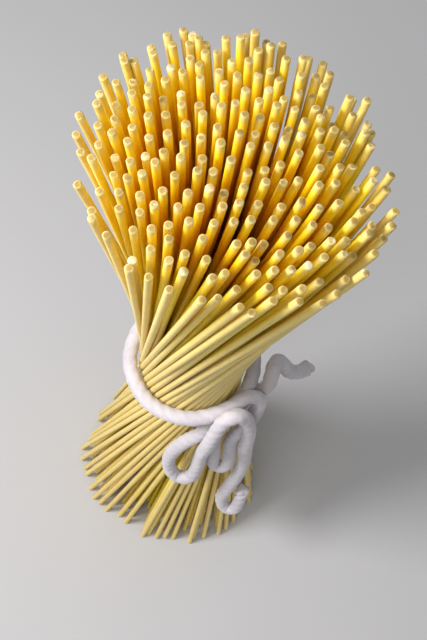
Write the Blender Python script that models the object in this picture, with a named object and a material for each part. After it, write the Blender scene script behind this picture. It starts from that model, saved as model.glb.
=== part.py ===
"""A bundle of dry spaghetti, tied at its waist with a soft white string.

The strands are straight. They cross in a right-hand twist where the string holds them, so the
bundle is an hourglass: every strand runs as NECK_HEIGHT, TWIST and its own place at the neck say.
The bundle is one fluted solid with the strands' tips standing out of its domed top, and the
string is one cord, from the tip of its front tail to the tip of its back one.
"""
import math
import random

import bmesh
import bpy
import numpy as np
from mathutils import Vector

# The strands
STRAND_LENGTH = 0.256
STRAND_THICK = 0.0018
NECK_HEIGHT = 0.130
NECK_RINGS = 8               # rings of strands round the middle one, where they are packed
TWIST = 16.5                 # sideways run per metre of height, for each metre from the middle
OVAL_DIRECTION = -21         # the ends spread into an oval, longest this way, in degrees
OVAL_LONG = 1.05
OVAL_SHORT = 0.915
NECK_RADIUS = NECK_RINGS * STRAND_THICK + STRAND_THICK / 2

# The fluted body, which stops short of the tips
RIBS = 6 * NECK_RINGS        # one rib for each strand of the outer ring
BODY_ROWS = 9
TIP_STANDS_OUT = 0.009
TIP_ROOT = 0.012             # how far a tip's stub runs down into the body
TIP_UNEVEN = 0.004           # the shortest strands lack this much
GROOVE_NECK = 0.0005
GROOVE_ENDS = 0.0026
RIB_UNEVEN = 0.012           # part of a rib's radius
STUB_SIDES = 5

# The gaps where the lower ends part: direction in degrees, half width in degrees, depth, height
FOOT_GAPS = (
    (-102, 8, 0.0095, 0.065),
    (-78, 4, 0.0030, 0.035),
    (-64, 5, 0.0040, 0.040),
    (-45, 5, 0.0036, 0.040),
    (-20, 5, 0.0040, 0.045),
    (35, 6, 0.0045, 0.045),
    (80, 5, 0.0030, 0.040),
    (140, 6, 0.0050, 0.050),
    (-150, 5, 0.0035, 0.040),
)

# The string
STRING_THICK = 0.0044
GAP = 0.0003
GAP_TO_STRANDS = 0.0005      # more, because the tube's points cut the corners of its curve
SETTLE_STEP = 0.0015
SETTLE_ROUNDS = 120
TUBE_TURN = 22               # degrees of bend between two points of the tube
TUBE_STEP = 0.0085

# The string's route: direction round the bundle in degrees, distance from its middle and
# height in millimetres
FRONT_TAIL = (
    (-33, 32, 62), (-36, 33.5, 55), (-40, 34, 48), (-43, 32, 47), (-44, 29, 53), (-40, 28.5, 64),
    (-35, 28.5, 76.5), (-33, 28, 90), (-33, 26.5, 103), (-37, 27, 114),
)
OVER_KNOT = (
    (-35.5, 26, 122), (-36, 24.8, 129.5), (-39, 22.8, 136), (-45, 21.5, 138.5),
    (-53, 20.8, 136.5), (-59, 21.5, 130), (-62, 22.2, 122),
)
LEFT_LOOP = (
    (-61, 21.5, 113), (-57, 20.5, 100), (-60, 21.5, 88.5), (-68, 23, 79.5), (-78, 22, 78),
    (-87, 20, 84), (-88, 18.5, 95), (-78, 18.5, 107), (-64, 19, 116.5), (-51, 18.2, 124),
)
ROUND_NECK = (
    (-38, 18, 127.3), (-16, 17.8, 127.8), (15, 17.8, 129), (60, 17.8, 130), (105, 17.8, 130),
    (150, 17.8, 130), (195, 17.8, 130), (240, 17.8, 130), (280, 17.8, 131),
    (312, 17.8, 132.3), (328, 18, 132.6), (339, 19, 132.2),
)
RIGHT_LOOP = (
    (-14, 21.8, 128.5), (-20, 22.8, 122), (-31, 22.8, 115), (-37, 21.5, 105), (-41, 23.5, 96),
    (-46, 24.5, 86), (-51, 23, 84), (-55, 21.5, 93), (-54, 19, 112), (-46, 18.6, 119),
)
BACK_TAIL = (
    (-33, 18.2, 122.5), (-18, 18.4, 122.5), (-11, 20, 124), (-7, 22.8, 128.5), (-3, 23, 132.5),
    (4, 23, 134.5), (12, 24.5, 132), (13, 27, 127), (14, 30, 120), (17, 34, 114.5), (21, 37.5, 110),
)


def clear_scene():
    for thing in list(bpy.data.objects):
        bpy.data.objects.remove(thing, do_unlink=True)


def make_collection(name):
    group = bpy.data.collections.new(name)
    bpy.context.scene.collection.children.link(group)
    return group


def make_material(name, colour, roughness):
    material = bpy.data.materials.new(name)
    material.use_nodes = True
    surface = material.node_tree.nodes["Principled BSDF"]
    surface.inputs["Base Color"].default_value = (*colour, 1.0)
    surface.inputs["Roughness"].default_value = roughness
    surface.inputs["Metallic"].default_value = 0.0
    return material


def oval(x, y):
    """A sideways run made longer along the oval and shorter across it."""
    cos = math.cos(math.radians(OVAL_DIRECTION))
    sin = math.sin(math.radians(OVAL_DIRECTION))
    along = (x * cos + y * sin) * OVAL_LONG
    across = (y * cos - x * sin) * OVAL_SHORT
    return along * cos - across * sin, along * sin + across * cos


def on_strand(x, y, height):
    """Where the strand that passes the neck at (x, y) is at another height."""
    run = TWIST * (height - NECK_HEIGHT)
    run_x, run_y = oval(-y, x)
    return Vector((x + run * run_x, y + run * run_y, height))


def spread(height):
    """How much wider the bundle is than at its neck."""
    return math.hypot(1.0, TWIST * (height - NECK_HEIGHT))


def top_of(x, y):
    """The height of a full-length strand's tip: a strand further out leans more."""
    run_x, run_y = oval(-y, x)
    return STRAND_LENGTH / math.hypot(1.0, TWIST * run_x, TWIST * run_y)


def foot_dent(angle, height):
    """How far a gap between the lower ends pulls the outline in."""
    dent = 0.0
    for middle, half_width, depth, reach in FOOT_GAPS:
        off = (math.degrees(angle) - middle + 180) % 360 - 180
        across = max(0.0, 1 - abs(off) / half_width)
        along = max(0.0, 1 - height / reach)
        dent = max(dent, depth * across * along)
    return dent


def body_point(angle, inward, up, uneven):
    """A point of the unit cylinder moved to the hourglass. inward is 1 at the outside."""
    column = round(angle / math.tau * 2 * RIBS) % (2 * RIBS)
    rib_scale = 1 + RIB_UNEVEN * uneven[column // 2]
    x = NECK_RADIUS * inward * math.cos(angle)
    y = NECK_RADIUS * inward * math.sin(angle)
    rim = top_of(x, y) - TIP_STANDS_OUT + 0.0015 * uneven[column // 2] * inward
    height = rim * up
    point = on_strand(x, y, height)
    if inward > 0.99:
        flat = Vector((point.x, point.y, 0.0))
        reach = (spread(height) - 1) / (spread(0.0) - 1)
        groove = (column % 2) * (GROOVE_NECK + (GROOVE_ENDS - GROOVE_NECK) * reach)
        direction = math.atan2(point.y, point.x)
        length = flat.length * (1 + (rib_scale - 1) * reach) - groove
        length -= foot_dent(direction, height)
        flat *= length / flat.length
        point = Vector((flat.x, flat.y, height))
    return point


def add_body(group):
    """The hourglass: a cylinder with rows and a ringed top, moved to where the strands run."""
    mesh = bpy.data.meshes.new("spaghetti")
    shape = bmesh.new()
    bmesh.ops.create_cone(shape, cap_ends=True, segments=2 * RIBS, radius1=1, radius2=1, depth=1)
    upright = [e for e in shape.edges if abs(e.verts[0].co.z - e.verts[1].co.z) > 0.5]
    bmesh.ops.subdivide_edges(shape, edges=upright, cuts=BODY_ROWS - 1, use_grid_fill=True)
    for inset in (0.30, 0.35):
        top = max(shape.faces, key=lambda f: (f.calc_center_median().z, len(f.verts)))
        bmesh.ops.inset_region(shape, faces=[top], thickness=inset)
    top = max(shape.faces, key=lambda f: (f.calc_center_median().z, len(f.verts)))
    bmesh.ops.poke(shape, faces=[top])
    rng = random.Random(4)
    uneven = [rng.uniform(-1, 1) for _ in range(RIBS)]
    for vertex in shape.verts:
        x, y, z = vertex.co
        inward = min(1.0, math.hypot(x, y))
        vertex.co = body_point(math.atan2(y, x), inward, z + 0.5, uneven)
    bmesh.ops.recalc_face_normals(shape, faces=shape.faces)
    shape.to_mesh(mesh)
    shape.free()
    body = bpy.data.objects.new("spaghetti", mesh)
    group.objects.link(body)
    return body


def add_tips(group):
    """The strands' upper ends, as stubs that run down into the body."""
    mesh = bpy.data.meshes.new("tips")
    shape = bmesh.new()
    rng = random.Random(9)
    for ring in range(NECK_RINGS + 1):
        for place in range(max(1, 6 * ring)):
            angle = math.tau * place / max(1, 6 * ring)
            x = ring * STRAND_THICK * math.cos(angle)
            y = ring * STRAND_THICK * math.sin(angle)
            tip_height = top_of(x, y) - TIP_UNEVEN * rng.random() ** 2
            tip = on_strand(x, y, tip_height)
            root = on_strand(x, y, tip_height - TIP_STANDS_OUT - TIP_ROOT)
            made = bmesh.ops.create_cone(
                shape,
                cap_ends=True,
                segments=STUB_SIDES,
                radius1=STRAND_THICK / 2,
                radius2=STRAND_THICK / 2,
                depth=(tip - root).length,
            )
            turn = (tip - root).to_track_quat("Z", "Y")
            for vertex in made["verts"]:
                vertex.co = turn @ vertex.co + (tip + root) / 2
    shape.to_mesh(mesh)
    shape.free()
    tips = bpy.data.objects.new("tips", mesh)
    tips.hide_render = True
    tips.display_type = "WIRE"
    group.objects.link(tips)
    return tips


def join_tips(body, tips):
    union = body.modifiers.new("tips", "BOOLEAN")
    union.operation = "UNION"
    union.solver = "EXACT"
    union.object = tips


def route_points(route):
    """The route in metres, from directions in degrees and millimetres."""
    points = []
    for degrees, distance, height in route:
        angle = math.radians(degrees)
        x = distance * math.cos(angle)
        y = distance * math.sin(angle)
        points.append((x / 1000, y / 1000, height / 1000))
    return points


def smooth_curve(points, pieces=14):
    """A centripetal Catmull-Rom curve through the points."""
    points = [Vector(p) for p in points]
    points = [2 * points[0] - points[1], *points, 2 * points[-1] - points[-2]]
    curve = []
    for a, b, c, d in zip(points, points[1:], points[2:], points[3:]):
        t1 = math.sqrt((b - a).length)
        t2 = t1 + math.sqrt((c - b).length)
        t3 = t2 + math.sqrt((d - c).length)
        for k in range(pieces):
            t = t1 + (t2 - t1) * k / pieces
            ab = a.lerp(b, t / t1)
            bc = b.lerp(c, (t - t1) / (t2 - t1))
            cd = c.lerp(d, (t - t2) / (t3 - t2))
            abc = ab.lerp(bc, t / t2)
            bcd = bc.lerp(cd, (t - t1) / (t3 - t1))
            curve.append(abc.lerp(bcd, (t - t1) / (t2 - t1)))
    curve.append(points[-2])
    return np.array(curve)


def even_steps(line, step):
    run = np.r_[0, np.cumsum(np.linalg.norm(np.diff(line, axis=0), axis=1))]
    stations = np.linspace(0, run[-1], int(round(run[-1] / step)) + 1)
    return np.stack([np.interp(stations, run, line[:, axis]) for axis in range(3)], 1)


def outline_distance(line):
    """How far out the bundle's surface is at each point of the line, in the point's direction."""
    turns = np.linspace(0, math.tau, 180, endpoint=False)
    neck_x = NECK_RADIUS * np.cos(turns)
    neck_y = NECK_RADIUS * np.sin(turns)
    run_x, run_y = oval(-neck_y, neck_x)
    run = TWIST * (line[:, 2] - NECK_HEIGHT)
    outline = (neck_x + np.outer(run, run_x)) + 1j * (neck_y + np.outer(run, run_y))
    off = np.angle(outline * (line[:, 0] - 1j * line[:, 1])[:, None])
    nearest = np.abs(off).argmin(axis=1)
    return np.abs(outline[np.arange(len(line)), nearest])


def settle(line):
    """Moves the string's line off itself and off the bundle, as a tied string lies."""
    start = even_steps(line, SETTLE_STEP)
    moved = np.zeros_like(start)
    apart = STRING_THICK + GAP
    first, second = np.triu_indices(len(start), k=math.ceil(1.9 * STRING_THICK / SETTLE_STEP))
    for _ in range(SETTLE_ROUNDS):
        line = start + moved
        between = line[second] - line[first]
        far = np.linalg.norm(between, axis=1)
        near = far < apart
        push = (0.25 * (apart - far[near]) / far[near])[:, None] * between[near]
        np.add.at(moved, second[near], push)
        np.add.at(moved, first[near], -push)
        for _ in range(2):
            moved[1:-1] = 0.5 * moved[1:-1] + 0.25 * (moved[:-2] + moved[2:])
        line = start + moved
        distance = np.hypot(line[:, 0], line[:, 1])
        short = outline_distance(line) + STRING_THICK / 2 + GAP_TO_STRANDS - distance
        short = np.maximum(short, 0)
        moved[:, :2] += line[:, :2] * (short / distance)[:, None]
    return start + moved


def tube_points(line):
    """Fewer points, closer together where the line bends."""
    kept = [line[0]]
    heading = None
    for before, here in zip(line, line[1:]):
        along = (here - before) / np.linalg.norm(here - before)
        if heading is None:
            heading = along
        bend = math.degrees(math.acos(min(1.0, float(heading @ along))))
        if bend > TUBE_TURN or np.linalg.norm(here - kept[-1]) > TUBE_STEP:
            kept.append(here)
            heading = along
    kept[-1] = line[-1]
    return kept


def add_string(group):
    route = FRONT_TAIL + OVER_KNOT + LEFT_LOOP + ROUND_NECK + RIGHT_LOOP + BACK_TAIL
    points = tube_points(settle(smooth_curve(route_points(route))))
    curve = bpy.data.curves.new("string", "CURVE")
    curve.dimensions = "3D"
    curve.bevel_depth = STRING_THICK / 2
    curve.bevel_resolution = 2
    curve.use_fill_caps = True
    spline = curve.splines.new("POLY")
    spline.points.add(len(points) - 1)
    for point, place in zip(spline.points, points):
        point.co = (*place, 1.0)
    string = bpy.data.objects.new("string", curve)
    group.objects.link(string)
    return string


def main():
    clear_scene()
    parts = make_collection("spaghetti_bundle")
    helpers = make_collection("spaghetti_bundle_cutters")
    body = add_body(parts)
    join_tips(body, add_tips(helpers))
    body.data.materials.append(make_material("pasta", (0.84, 0.60, 0.16), 0.45))
    string = add_string(parts)
    string.data.materials.append(make_material("cotton", (0.82, 0.80, 0.82), 0.90))


main()
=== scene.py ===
import math

import bpy
import numpy as np
from mathutils import Matrix, Vector


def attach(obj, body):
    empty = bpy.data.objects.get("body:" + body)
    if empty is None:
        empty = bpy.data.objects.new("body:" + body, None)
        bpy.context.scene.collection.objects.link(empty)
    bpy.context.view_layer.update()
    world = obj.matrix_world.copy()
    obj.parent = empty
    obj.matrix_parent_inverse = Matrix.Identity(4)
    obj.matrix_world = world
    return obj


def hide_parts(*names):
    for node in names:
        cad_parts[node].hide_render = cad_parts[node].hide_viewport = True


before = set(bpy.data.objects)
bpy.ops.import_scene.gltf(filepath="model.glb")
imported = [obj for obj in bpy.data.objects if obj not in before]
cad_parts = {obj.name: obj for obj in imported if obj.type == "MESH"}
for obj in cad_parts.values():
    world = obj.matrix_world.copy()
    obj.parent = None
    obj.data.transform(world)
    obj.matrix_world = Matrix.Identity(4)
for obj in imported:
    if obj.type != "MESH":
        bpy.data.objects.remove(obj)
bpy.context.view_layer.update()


# small helpers for the materials

def setInputs(node, **inputs):
    for name, value in inputs.items():
        node.inputs[name.replace("_", " ")].default_value = value


def addNode(tree, kind, **inputs):
    node = tree.nodes.new(kind)
    setInputs(node, **inputs)
    return node


def newMaterial(name):
    material = bpy.data.materials.new(name)
    material.use_nodes = True
    tree = material.node_tree
    return material, tree, tree.nodes["Principled BSDF"]


def attribute(tree, name):
    node = tree.nodes.new("ShaderNodeAttribute")
    node.attribute_name = name
    return node.outputs["Fac"]


def ramp(tree, source, stops):
    node = tree.nodes.new("ShaderNodeValToRGB")
    tree.links.new(source, node.inputs["Fac"])
    band = node.color_ramp
    while len(band.elements) < len(stops):
        band.elements.new(0.5)
    for element, (place, colour) in zip(band.elements, stops):
        element.position = place
        element.color = (*colour, 1.0)
    return node.outputs["Color"]


def fillSocket(tree, socket, value):
    if isinstance(value, bpy.types.NodeSocket):
        tree.links.new(value, socket)
    elif isinstance(value, tuple):
        socket.default_value = (*value, 1.0)
    else:
        socket.default_value = value


def mixColour(tree, how, amount, first, second):
    node = tree.nodes.new("ShaderNodeMix")
    node.data_type = "RGBA"
    node.blend_type = how
    # the sockets 0, 6 and 7 are the amount and the two colours
    for socket, value in zip((0, 6, 7), (amount, first, second)):
        fillSocket(tree, node.inputs[socket], value)
    return node.outputs[2]


def mathNode(tree, how, first, second):
    node = tree.nodes.new("ShaderNodeMath")
    node.operation = how
    for socket, value in zip(node.inputs, (first, second)):
        fillSocket(tree, socket, value)
    return node.outputs[0]


def addBump(tree, surface, source, strength, height):
    bump = addNode(tree, "ShaderNodeBump", Strength=strength, Distance=height)
    tree.links.new(source, bump.inputs["Height"])
    tree.links.new(bump.outputs["Normal"], surface.inputs["Normal"])


view = {
    "place": (0.0031, -0.1078, 0.4460),
    "lookDown": 69.0,       # degrees below level
    "roll": 14.3,
    "lens": 64.7,
    "sensor": 36,
}


def addCamera(s):
    data = bpy.data.cameras.new("camera")
    data.lens = s["lens"]
    data.sensor_width = s["sensor"]
    data.clip_start = 0.01
    data.clip_end = 20
    camera = bpy.data.objects.new("camera", data)
    bpy.context.collection.objects.link(camera)
    tip = Matrix.Rotation(math.radians(90 - s["lookDown"]), 4, "X")
    roll = Matrix.Rotation(math.radians(s["roll"]), 4, "Z")
    camera.matrix_world = Matrix.Translation(s["place"]) @ tip @ roll
    bpy.context.scene.camera = camera
    print("camera set")


addCamera(view)


# how the strands run together: straight, and leaning round the axis
bundle = {
    "neckHeight": 0.130,
    "neckRadius": 0.0153,
    "twist": 16.5,          # sideways run per metre of height, for each metre from the middle
    "ovalDirection": -21,   # the ends spread into an oval, longest this way, in degrees
    "ovalLong": 1.05,
    "ovalShort": 0.915,
}


def oval(x, y, b):
    cos = math.cos(math.radians(b["ovalDirection"]))
    sin = math.sin(math.radians(b["ovalDirection"]))
    along = (x * cos + y * sin) * b["ovalLong"]
    across = (y * cos - x * sin) * b["ovalShort"]
    return along * cos - across * sin, along * sin + across * cos


def outlineDistance(line, b):
    # how far out the bundle's surface is at each point's height, in the point's direction
    turns = np.linspace(0, math.tau, 180, endpoint=False)
    neckX = b["neckRadius"] * np.cos(turns)
    neckY = b["neckRadius"] * np.sin(turns)
    runX, runY = oval(-neckY, neckX, b)
    run = b["twist"] * (line[:, 2] - b["neckHeight"])
    outline = (neckX + np.outer(run, runX)) + 1j * (neckY + np.outer(run, runY))
    off = np.angle(outline * (line[:, 0] - 1j * line[:, 1])[:, None])
    nearest = np.abs(off).argmin(axis=1)
    return np.abs(outline[np.arange(len(line)), nearest])


string = {
    "thick": 0.0044,
    "step": 0.0015,         # between the points that are settled
    "rounds": 120,
    "gap": 0.0003,          # room kept between two passes
    "gapToStrands": 0.0005,
    "skipAlong": 1.9,       # points this near along the string, in thicknesses, are not parted
    "push": 0.25,           # share of the missing room made up in one round
    "ringStep": 0.0007,     # between the rings of the finished tube
    "softened": 6,
    "sides": 20,
    "plies": 3,
    "lay": 0.0110,          # length of one full turn of the plies
    "plyDepth": 0.132,      # hollows between the plies, as a share of the radius
    "plyRound": 0.7,
    "fullness": 1.02,
    "lumpEvery": 12,        # rings from one lump to the next
    "lumpSize": 0.025,
    "fuzz": 0.012,
    "fray": 0.006,          # how far from each end it is loosened
    "frayDepth": 2.5,       # how much deeper the hollows are there
    "frayFlare": 0.14,      # how much wider it is there
    "endCap": 0.0006,
    "seed": 5,
    "patchScale": 120.0,
    "patches": ((0.3, (0.53, 0.50, 0.54)), (0.7, (0.61, 0.58, 0.61))),
    "fibreScale": 900.0,
    "fibres": ((0.3, (0.72, 0.70, 0.73)), (0.6, (1.0, 1.0, 1.0))),
    "fibreShare": 0.35,
    "fibreHeight": 0.0002,
}

# direction round the bundle in degrees, distance from its middle and height in millimetres
frontTail = (
    (-33, 32, 62), (-36, 33.5, 55), (-40, 34, 48), (-43, 32, 47), (-44, 29, 53), (-40, 28.5, 64),
    (-35, 28.5, 76.5), (-33, 28, 90), (-33, 26.5, 103), (-37, 27, 114),
)
overKnot = (
    (-35.5, 26, 122), (-36, 24.8, 129.5), (-39, 22.8, 136), (-45, 21.5, 138.5),
    (-53, 20.8, 136.5), (-59, 21.5, 130), (-62, 22.2, 122),
)
leftLoop = (
    (-61, 21.5, 113), (-57, 20.5, 100), (-60, 21.5, 88.5), (-68, 23, 79.5), (-78, 22, 78),
    (-87, 20, 84), (-88, 18.5, 95), (-78, 18.5, 107), (-64, 19, 116.5), (-51, 18.2, 124),
)
roundNeck = (
    (-38, 18, 127.3), (-16, 17.8, 127.8), (15, 17.8, 129), (60, 17.8, 130), (105, 17.8, 130),
    (150, 17.8, 130), (195, 17.8, 130), (240, 17.8, 130), (280, 17.8, 131),
    (312, 17.8, 132.3), (328, 18, 132.6), (339, 19, 132.2),
)
rightLoop = (
    (-14, 21.8, 128.5), (-20, 22.8, 122), (-31, 22.8, 115), (-37, 21.5, 105), (-41, 23.5, 96),
    (-46, 24.5, 86), (-51, 23, 84), (-55, 21.5, 93), (-54, 19, 112), (-46, 18.6, 119),
)
backTail = (
    (-33, 18.2, 122.5), (-18, 18.4, 122.5), (-11, 20, 124), (-7, 22.8, 128.5), (-3, 23, 132.5),
    (4, 23, 134.5), (12, 24.5, 132), (13, 27, 127), (14, 30, 120), (17, 34, 114.5), (21, 37.5, 110),
)


def routePoints(route):
    points = []
    for degrees, distance, height in route:
        angle = math.radians(degrees)
        x = distance * math.cos(angle)
        y = distance * math.sin(angle)
        points.append((x / 1000, y / 1000, height / 1000))
    return points


def smoothCurve(points, pieces=14):
    # a curve through all the points, eased for their uneven spacing
    points = [Vector(p) for p in points]
    points = [2 * points[0] - points[1], *points, 2 * points[-1] - points[-2]]
    curve = []
    for a, b, c, d in zip(points, points[1:], points[2:], points[3:]):
        t1 = math.sqrt((b - a).length)
        t2 = t1 + math.sqrt((c - b).length)
        t3 = t2 + math.sqrt((d - c).length)
        for k in range(pieces):
            t = t1 + (t2 - t1) * k / pieces
            ab = a.lerp(b, t / t1)
            bc = b.lerp(c, (t - t1) / (t2 - t1))
            cd = c.lerp(d, (t - t2) / (t3 - t2))
            abc = ab.lerp(bc, t / t2)
            bcd = bc.lerp(cd, (t - t1) / (t3 - t1))
            curve.append(abc.lerp(bcd, (t - t1) / (t2 - t1)))
    curve.append(points[-2])
    return np.array(curve)


def evenSteps(line, step):
    run = np.r_[0, np.cumsum(np.linalg.norm(np.diff(line, axis=0), axis=1))]
    stations = np.linspace(0, run[-1], int(round(run[-1] / step)) + 1)
    return np.stack([np.interp(stations, run, line[:, axis]) for axis in range(3)], 1)


def soften(line, times):
    # each point but the two ends goes halfway to the middle of its neighbours
    for _ in range(times):
        line[1:-1] = 0.5 * line[1:-1] + 0.25 * (line[:-2] + line[2:])


def settle(line, s):
    # passes of the string are moved apart, and off the bundle, but a tight bend can still pinch
    start = evenSteps(line, s["step"])
    moved = np.zeros_like(start)
    apart = s["thick"] + s["gap"]
    skip = math.ceil(s["skipAlong"] * s["thick"] / s["step"])
    first, second = np.triu_indices(len(start), k=skip)
    for _ in range(s["rounds"]):
        line = start + moved
        between = line[second] - line[first]
        far = np.linalg.norm(between, axis=1)
        near = far < apart
        push = (s["push"] * (apart - far[near]) / far[near])[:, None] * between[near]
        np.add.at(moved, second[near], push)
        np.add.at(moved, first[near], -push)
        soften(moved, 2)
        line = start + moved
        distance = np.hypot(line[:, 0], line[:, 1])
        short = outlineDistance(line, bundle) + s["thick"] / 2 + s["gapToStrands"] - distance
        short = np.maximum(short, 0)
        moved[:, :2] += line[:, :2] * (short / distance)[:, None]
    return start + moved


def sideways(line):
    # two directions across the line at each point, carried along without turning
    ahead = np.gradient(line, axis=0)
    ahead /= np.linalg.norm(ahead, axis=1)[:, None]
    across = np.cross(ahead[0], (0.3, 0.2, 0.9))  # any direction that isn't along the line
    firsts = []
    for direction in ahead:
        across = across - direction * (across @ direction)
        across /= np.linalg.norm(across)
        firsts.append(across)
    firsts = np.array(firsts)
    return ahead, firsts, np.cross(ahead, firsts)


def stringRadius(run, s):
    # plies with hollows between them, lumps and fuzz, and two loosened ends
    rng = np.random.default_rng(s["seed"])
    count = len(run)
    angles = np.arange(s["sides"]) * math.tau / s["sides"]
    turn = angles[None, :] - math.tau * run[:, None] / s["lay"]
    lobes = np.abs(np.cos(turn * s["plies"] / 2)) ** s["plyRound"]
    fromEnd = np.minimum(run, run[-1] - run)
    atEnd = np.clip(1 - fromEnd / s["fray"], 0, 1)[:, None]
    depth = s["plyDepth"] * (1 + s["frayDepth"] * atEnd)
    radius = s["thick"] / 2 * (s["fullness"] - depth * (1 - lobes))
    lumpRings = np.arange(0, count + s["lumpEvery"], s["lumpEvery"])
    lumps = rng.normal(0, s["lumpSize"], len(lumpRings))
    radius *= (1 + np.interp(np.arange(count), lumpRings, lumps))[:, None]
    radius *= 1 + rng.normal(0, s["fuzz"], radius.shape)
    radius *= 1 + s["frayFlare"] * atEnd
    return radius


def tube(name, line, radius, s):
    ahead, left, up = sideways(line)
    count, sides = radius.shape
    angles = np.arange(sides) * math.tau / sides
    verts = line[:, None] + radius[:, :, None] * (
        np.cos(angles)[None, :, None] * left[:, None] + np.sin(angles)[None, :, None] * up[:, None]
    )
    points = verts.reshape(-1, 3).tolist()
    faces = []
    for i in range(count - 1):
        for j in range(sides):
            k = (j + 1) % sides
            faces.append((i * sides + j, i * sides + k, (i + 1) * sides + k, (i + 1) * sides + j))
    for ring, outward in ((0, -1), (count - 1, 1)):
        middle = len(points)
        points.append((line[ring] + ahead[ring] * outward * s["endCap"]).tolist())
        for j in range(sides):
            a, b = ring * sides + j, ring * sides + (j + 1) % sides
            faces.append((a, b, middle) if outward > 0 else (b, a, middle))
    mesh = bpy.data.meshes.new(name)
    mesh.from_pydata(points, [], faces)
    mesh.shade_smooth()
    piece = bpy.data.objects.new(name, mesh)
    bpy.context.collection.objects.link(piece)
    return piece


def addString(s):
    route = frontTail + overKnot + leftLoop + roundNeck + rightLoop + backTail
    line = settle(smoothCurve(routePoints(route)), s)
    line = evenSteps(line, s["ringStep"])
    soften(line, s["softened"])
    run = np.arange(len(line)) * s["ringStep"]
    piece = tube("stringBow", line, stringRadius(run, s), s)
    length = float(np.linalg.norm(np.diff(line, axis=0), axis=1).sum())
    print("string made,", round(length * 1000), "mm long")
    return piece, line, length


def cottonMaterial(s):
    material, tree, surface = newMaterial("cottonString")
    coords = tree.nodes.new("ShaderNodeTexCoord").outputs["Object"]
    fibres = addNode(tree, "ShaderNodeTexNoise", Scale=s["fibreScale"], Detail=4.0, Roughness=0.7)
    tree.links.new(coords, fibres.inputs["Vector"])
    patches = addNode(tree, "ShaderNodeTexNoise", Scale=s["patchScale"], Detail=2.0)
    tree.links.new(coords, patches.inputs["Vector"])
    colour = ramp(tree, patches.outputs["Fac"], s["patches"])
    fibreColour = ramp(tree, fibres.outputs["Fac"], s["fibres"])
    colour = mixColour(tree, "MULTIPLY", s["fibreShare"], colour, fibreColour)
    tree.links.new(colour, surface.inputs["Base Color"])
    setInputs(surface, Roughness=0.92, Sheen_Weight=0.35, Sheen_Roughness=0.5)
    setInputs(surface, Subsurface_Weight=0.12, Subsurface_Radius=(1.0, 0.9, 0.9),
              Subsurface_Scale=0.001)
    addBump(tree, surface, fibres.outputs["Fac"], 0.5, s["fibreHeight"])
    return material


bow, bowLine, bowLength = addString(string)
bow.data.materials.append(cottonMaterial(string))
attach(bow, "root")
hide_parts("string")


pasta = {
    "count": 240,
    "thick": 0.0018,
    "length": 0.256,
    "sides": 10,
    "rings": (0.165, 0.243, 0.2525),
    "roundedEnd": 0.00020,
    "smoothAngle": 40,
    "neckJitter": 0.0005,
    "wander": 0.0090,       # sideways run per metre of height that is each strand's own
    "footGaps": (           # direction, half width and reach in degrees
        (-105, 7, 30), (-72, 3, 14), (-46, 3, 13), (-20, 3, 13),
    ),
    "gapsFrom": 0.016,      # the gaps open from this distance outwards
    "gapsOver": 0.014,
    "flatSide": (55, 28, 0.06),  # direction, width in degrees, and how much the spread is cut
    "rounds": 500,
    "spacing": 1.01,        # room kept between two strands, in thicknesses
    "push": 0.2,
    "lever": 0.08,          # the further from the neck, the more a push turns a strand
    "tooNear": 0.9,         # below this, in thicknesses, a pair is counted as overlapping
    "shorter": 0.0035,      # the most that a strand is short of its length, reached by few
    "shorterPower": 2.5,
    "lifted": 0.0022,       # the most that a foot stands above the surface, reached by few
    "liftedPower": 2,
    "thickVaries": 0.02,
    "tipZone": 0.001,
    "tipRough": 0.00005,
    "straightCuts": 0.88,   # share of the strands that are cut about square
    "straightCut": 6,       # spread of their cuts' angles, in degrees
    "slantingCut": 22,      # largest angle of the others
    "seed": 21,
    "paleTip": 0.0037,
    "cutMiddle": 0.4,       # value of the cut attribute at the middle of the cut end, 1 at its edge, where the paler rim is a painted highlight
    "depth": {              # how deep in the bundle a point counts as, from 0 outside to 1; this sets the painted shade, darker and more orange deeper in, for light passed through other strands
        "head": 0.025,      # least depth of the strands' sides in the head
        "headFrom": 0.05,   # height above the neck
        "headOver": 0.04,
        "inside": 0.94,
        "skin": 0.003,
        "skinOver": 0.010,
        "below": 0.03,      # from this far below the neck down, the inside counts as less deep and gets less painted shade
        "belowOver": 0.05,
        "leastBelow": 0.1,
        "tips": 0.017,      # over this length from the tip the depth grows, so the tips carry no painted shade
    },
    "colours": {
        # painted shade: the colour from the bundle's outside to deep inside, darker and more orange
        # for light passed through other strands
        "paintedShade": (
            (0.0, (0.84, 0.65, 0.24)), (0.05, (0.94, 0.74, 0.17)), (0.12, (1.0, 0.75, 0.04)),
            (0.25, (1.0, 0.72, 0.008)), (0.5, (1.0, 0.61, 0.0)), (1.0, (1.0, 0.44, 0.0)),
        ),
        "tip": (0.78, 0.65, 0.22),
        # cut ends: body-coloured middle, paler rim as a painted highlight
        "cut": ((0.75, (0.44, 0.32, 0.10)), (0.90, (0.62, 0.50, 0.24))),
        "paleEndPatch": (0.72, 0.62, 0.40),
        "paleEndPatchSpread": ((0.56, (0.0, 0.0, 0.0)), (0.66, (1.0, 1.0, 1.0))),
        "tone": ((0.0, (0.92, 0.90, 0.82)), (1.0, (1.0, 1.0, 1.0))),
        "grain": ((0.3, (0.90, 0.88, 0.82)), (0.7, (1.0, 1.0, 1.0))),
        "grainShare": 0.7,
    },
    "finish": {
        "streakScale": 1500.0,
        "streakStretch": (1, 1, 0.12),
        "mottleScale": 260.0,
        "smoothest": 0.34,
        "roughest": 0.56,
        "glossyCut": 0.12,
        "streakHeight": 0.0001,
    },
}


def selectTopFace(piece):
    bpy.ops.mesh.select_mode(type="FACE")
    bpy.ops.mesh.select_all(action="DESELECT")
    bpy.ops.object.mode_set(mode="OBJECT")
    for face in piece.data.polygons:
        face.select = face.normal.z > 0.99
    bpy.ops.object.mode_set(mode="EDIT")


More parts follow.
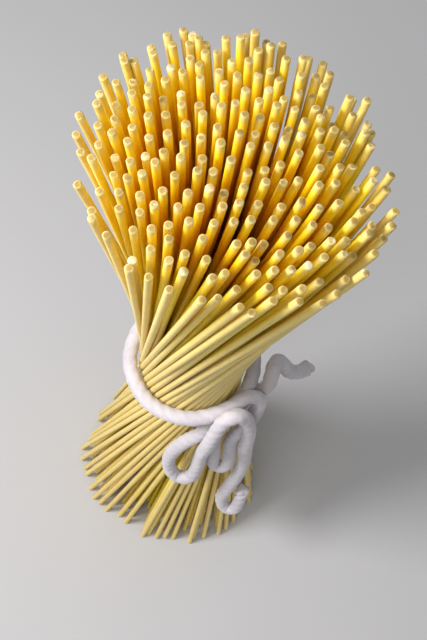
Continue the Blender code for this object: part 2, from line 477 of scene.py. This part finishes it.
def markTip(piece, s):
    # nearTip is 1 at the tip and 0 further down; the cut value grows from the cut end's middle to
    # its edge, where the paler rim is a painted highlight
    mesh = piece.data
    nearTip = mesh.attributes.new("nearTip", "FLOAT", "POINT")
    for point in mesh.vertices:
        nearTip.data[point.index].value = max(0, 1 - (s["length"] - point.co.z) / s["paleTip"])
    cut = mesh.attributes.new("cut", "FLOAT", "CORNER")
    for face in mesh.polygons:
        if face.normal.z < 0.5:
            continue
        for corner in face.loop_indices:
            point = mesh.vertices[mesh.loops[corner].vertex_index].co
            out = math.hypot(point.x, point.y) / (s["thick"] / 2)
            cut.data[corner].value = s["cutMiddle"] + (1 - s["cutMiddle"]) * out


def modelStrand(s):
    bpy.ops.object.select_all(action="DESELECT")
    bpy.ops.mesh.primitive_cylinder_add(
        vertices=s["sides"], radius=s["thick"] / 2, depth=s["length"],
        location=(0, 0, s["length"] / 2))
    strand = bpy.context.object
    strand.name = "strand"
    bpy.ops.object.transform_apply(location=True, rotation=False, scale=False)
    bpy.ops.object.mode_set(mode="EDIT")
    for height in s["rings"]:
        bpy.ops.mesh.select_all(action="SELECT")
        bpy.ops.mesh.bisect(plane_co=(0, 0, height), plane_no=(0, 0, 1))
    selectTopFace(strand)
    bpy.ops.mesh.bevel(offset=s["roundedEnd"], segments=1)
    selectTopFace(strand)
    bpy.ops.mesh.poke()
    bpy.ops.object.mode_set(mode="OBJECT")
    markTip(strand, s)
    print("one strand modelled,", len(strand.data.polygons), "faces")
    return strand


def degreesFrom(middle, direction):
    return (direction - middle + 180) % 360 - 180


def openGaps(neck, slope, s, b):
    # the feet stand aside from the gaps, and the heads keep in on the bundle's flat side
    foot = neck - slope * b["neckHeight"]
    distance = np.hypot(foot[:, 0], foot[:, 1])
    direction = np.degrees(np.arctan2(foot[:, 1], foot[:, 0]))
    outer = np.clip((distance - s["gapsFrom"]) / s["gapsOver"], 0, 1)
    for middle, halfWidth, reach in s["footGaps"]:
        off = degreesFrom(middle, direction)
        aside = halfWidth * np.clip(1 - np.abs(off) / reach, 0, 1) * outer
        direction += np.sign(off) * aside
    turned = np.radians(direction)
    foot = np.stack([distance * np.cos(turned), distance * np.sin(turned)], 1)
    slope = (neck - foot) / b["neckHeight"]
    tip = neck + slope * (s["length"] - b["neckHeight"])
    middle, width, keptIn = s["flatSide"]
    off = degreesFrom(middle, np.degrees(np.arctan2(tip[:, 1], tip[:, 0])))
    return slope * (1 - keptIn * np.exp(-((off / width) ** 2)))[:, None]


def placeStrands(s, b):
    # where each strand passes the neck, and how far it runs sideways for each metre of height
    rng = np.random.default_rng(s["seed"])
    count = s["count"]
    k = np.arange(count) + 0.5
    inside = b["neckRadius"] - s["thick"] / 2
    distance = inside * np.sqrt(k / count)
    angle = k * math.pi * (3 - math.sqrt(5))  # the golden angle fills a circle evenly
    neck = np.stack([distance * np.cos(angle), distance * np.sin(angle)], 1)
    neck += rng.normal(0, s["neckJitter"], neck.shape)
    slope = np.stack(oval(-neck[:, 1], neck[:, 0], b), 1) * b["twist"]
    slope += rng.normal(0, s["wander"], slope.shape)
    slope = openGaps(neck, slope, s, b)
    first, second = np.triu_indices(count, k=1)
    clear = s["thick"] * s["spacing"]
    lever = s["lever"]
    for _ in range(s["rounds"]):
        # each pair of strands is moved apart at the height where the two are nearest
        between = neck[second] - neck[first]
        drift = slope[second] - slope[first]
        height = -(between * drift).sum(axis=1) / (drift * drift).sum(axis=1)
        height = np.clip(height, -b["neckHeight"], s["length"] - b["neckHeight"])
        between = between + drift * height[:, None]
        far = np.linalg.norm(between, axis=1)
        near = far < clear
        height = height[near]
        share = s["push"] * (clear - far[near]) / far[near] / (1 + (height / lever) ** 2)
        push = share[:, None] * between[near]
        swing = push * height[:, None] / lever ** 2
        np.add.at(neck, second[near], push)
        np.add.at(neck, first[near], -push)
        np.add.at(slope, second[near], swing)
        np.add.at(slope, first[near], -swing)
        out = np.hypot(neck[:, 0], neck[:, 1])
        neck *= np.minimum(1, inside / out)[:, None]
        foot = np.c_[neck - slope * b["neckHeight"], np.zeros(count)]
        outside = np.hypot(foot[:, 0], foot[:, 1]) / outlineDistance(foot, b)
        slope /= np.maximum(1, outside)[:, None]
    overlapping = int((far < s["thick"] * s["tooNear"]).sum())
    print("pairs of strands that overlap by over a tenth:", overlapping, "nearest", far.min())
    return neck, slope


def shapeStrand(local, length, s, rng):
    # the model strand at one strand's own length and thickness, with its own rough, slanting cut
    spot = local.copy()
    spot[:, 2] *= length / s["length"]
    spot[:, :2] *= rng.normal(1, s["thickVaries"])
    atTip = spot[:, 2] > length - s["tipZone"]
    if rng.random() < s["straightCuts"]:
        slant = rng.normal(0, s["straightCut"])
    else:
        slant = rng.uniform(-s["slantingCut"], s["slantingCut"])
    turn = rng.uniform(0, math.tau)
    spot[atTip, 2] += math.tan(math.radians(slant)) * (
        spot[atTip, 0] * math.cos(turn) + spot[atTip, 1] * math.sin(turn))
    spot[atTip, 2] += rng.normal(0, s["tipRough"], atTip.sum())
    return spot


# painted shade: how deep a point sits in the bundle, 0 on the outer skin and near the tips, more
# inside and in the head
def paintedShadeAmount(spot, fromTip, b, d):
    fromSide = np.maximum(outlineDistance(spot, b) - np.hypot(spot[:, 0], spot[:, 1]), 0)
    height = spot[:, 2] - b["neckHeight"]
    inner = np.clip((fromSide - d["skin"]) / d["skinOver"], 0, 1)
    insideShadeShare = np.clip((height + d["below"]) / d["belowOver"], d["leastBelow"], 1)
    value = d["head"] * np.clip((height - d["headFrom"]) / d["headOver"], 0, 1)
    value += d["inside"] * inner * insideShadeShare
    value *= np.clip(fromTip / d["tips"], 0, 1)
    return value


def setAttribute(piece, name, values):
    layer = piece.data.attributes.new(name, "FLOAT", "POINT")
    layer.data.foreach_set("value", values.astype(np.float32))


def joined(copies, name, smoothAngle):
    bpy.ops.object.select_all(action="DESELECT")
    for piece in copies:
        piece.select_set(True)
    bpy.context.view_layer.objects.active = copies[0]
    bpy.ops.object.join()
    whole = bpy.context.object
    whole.name = name
    whole.data.name = name
    bpy.ops.object.shade_smooth_by_angle(angle=math.radians(smoothAngle))
    return whole


def addStrands(s, b):
    model = modelStrand(s)
    rng = np.random.default_rng(s["seed"] + 1)
    neck, slope = placeStrands(s, b)
    local = np.zeros(len(model.data.vertices) * 3)
    model.data.vertices.foreach_get("co", local)
    local = local.reshape(-1, 3)
    copies = []
    for (x, y), (runX, runY) in zip(neck, slope):
        along = Vector((runX, runY, 1)).normalized()
        lean = math.hypot(along.x, along.y)
        lift = s["thick"] / 2 * lean + s["lifted"] * rng.random() ** s["liftedPower"]
        length = s["length"] - s["shorter"] * rng.random() ** s["shorterPower"]
        down = b["neckHeight"] - lift
        foot = Vector((x - runX * down, y - runY * down, lift))
        turn = np.array(along.to_track_quat("Z", "Y").to_matrix())
        spot = shapeStrand(local, length, s, rng) @ turn.T + np.array(foot)
        piece = model.copy()
        piece.data = model.data.copy()
        bpy.context.collection.objects.link(piece)
        piece.data.vertices.foreach_set("co", spot.ravel())
        setAttribute(piece, "tone", np.full(len(spot), rng.random()))
        fromTip = np.maximum(length - local[:, 2] * length / s["length"], 0)
        setAttribute(piece, "paintedShade", paintedShadeAmount(spot, fromTip, b, s["depth"]))
        copies.append(piece)
    bpy.data.objects.remove(model)
    strands = joined(copies, "strands", s["smoothAngle"])
    print("strands placed,", len(strands.data.polygons), "faces")
    return strands


def pastaMaterial(c, f):
    material, tree, surface = newMaterial("durumPasta")
    coords = tree.nodes.new("ShaderNodeTexCoord").outputs["Object"]
    stretch = addNode(tree, "ShaderNodeMapping", Scale=f["streakStretch"])
    tree.links.new(coords, stretch.inputs["Vector"])
    streaks = addNode(tree, "ShaderNodeTexNoise", Scale=f["streakScale"], Detail=3.0, Roughness=0.6)
    tree.links.new(stretch.outputs["Vector"], streaks.inputs["Vector"])
    mottle = addNode(tree, "ShaderNodeTexNoise", Scale=f["mottleScale"], Detail=3.0, Roughness=0.6)
    tree.links.new(coords, mottle.inputs["Vector"])

    # the sides, with painted shade that turns darker and more orange deeper in the bundle, and the
    # pale tips
    body = ramp(tree, attribute(tree, "paintedShade"), c["paintedShade"])
    body = mixColour(tree, "MIX", attribute(tree, "nearTip"), body, c["tip"])

    # the cut ends, which alone have a cut value above 0, paler towards the rim as a painted
    # highlight
    cut = attribute(tree, "cut")
    atCut = mathNode(tree, "GREATER_THAN", cut, 0.2)
    # pale patches scattered over the cut ends by the mottle noise
    paleEndPatch = ramp(tree, mottle.outputs["Fac"], c["paleEndPatchSpread"])
    endColour = mixColour(tree, "MIX", paleEndPatch, ramp(tree, cut, c["cut"]), c["paleEndPatch"])
    body = mixColour(tree, "MIX", atCut, body, endColour)

    tone = ramp(tree, attribute(tree, "tone"), c["tone"])
    body = mixColour(tree, "MULTIPLY", 1.0, body, tone)
    grain = ramp(tree, mottle.outputs["Fac"], c["grain"])
    body = mixColour(tree, "MULTIPLY", c["grainShare"], body, grain)
    tree.links.new(body, surface.inputs["Base Color"])

    rough = addNode(tree, "ShaderNodeMapRange", To_Min=f["smoothest"], To_Max=f["roughest"])
    tree.links.new(streaks.outputs["Fac"], rough.inputs["Value"])
    glossyCut = mathNode(tree, "MULTIPLY", atCut, f["glossyCut"])
    roughness = mathNode(tree, "SUBTRACT", rough.outputs["Result"], glossyCut)
    tree.links.new(roughness, surface.inputs["Roughness"])
    setInputs(surface, IOR=1.40, Specular_IOR_Level=0.22)
    setInputs(surface, Subsurface_Weight=0.9, Subsurface_Radius=(0.9, 0.9, 0.6),
              Subsurface_Scale=0.0012)
    addBump(tree, surface, streaks.outputs["Fac"], 0.35, f["streakHeight"])
    return material


strands = addStrands(pasta, bundle)
strands.data.materials.clear()
strands.data.materials.append(pastaMaterial(pasta["colours"], pasta["finish"]))
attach(strands, "root")
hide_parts("spaghetti")


studio = {
    "floorSize": 3.0,
    "floorColour": (0.50, 0.50, 0.51),
    "lightsAim": (0, 0, 0.13),
    # place, size, power and colour of each light
    "key": ((-0.25, -0.10, 0.46), 0.15, 2.2, (1.0, 0.98, 0.98)),
    "fill": ((-0.16, -0.42, 1.05), 0.35, 2.4, (1.0, 0.98, 0.97)),
    "world": 0.35,
}


def addFloor(s):
    bpy.ops.object.select_all(action="DESELECT")
    bpy.ops.mesh.primitive_plane_add(size=s["floorSize"], location=(0, 0, 0))
    floor = bpy.context.object
    floor.name = "floor"
    material, _, surface = newMaterial("paleFloor")
    setInputs(surface, Base_Color=(*s["floorColour"], 1), Roughness=0.8)
    floor.data.materials.append(material)


def addLight(name, place, size, power, colour, aim):
    data = bpy.data.lights.new(name, "AREA")
    data.shape = "DISK"
    data.size = size
    data.energy = power
    data.color = colour
    light = bpy.data.objects.new(name, data)
    bpy.context.collection.objects.link(light)
    light.location = place
    light.rotation_euler = (Vector(aim) - Vector(place)).to_track_quat("-Z", "Y").to_euler()


def addStudio(s):
    addFloor(s)
    addLight("key", *s["key"], s["lightsAim"])
    addLight("fill", *s["fill"], s["lightsAim"])
    world = bpy.data.worlds.new("studio")
    world.use_nodes = True
    setInputs(world.node_tree.nodes["Background"], Color=(1, 1, 1, 1), Strength=s["world"])
    bpy.context.scene.world = world
    bpy.context.scene.view_settings.view_transform = "Standard"
    print("floor and light set")


addStudio(studio)
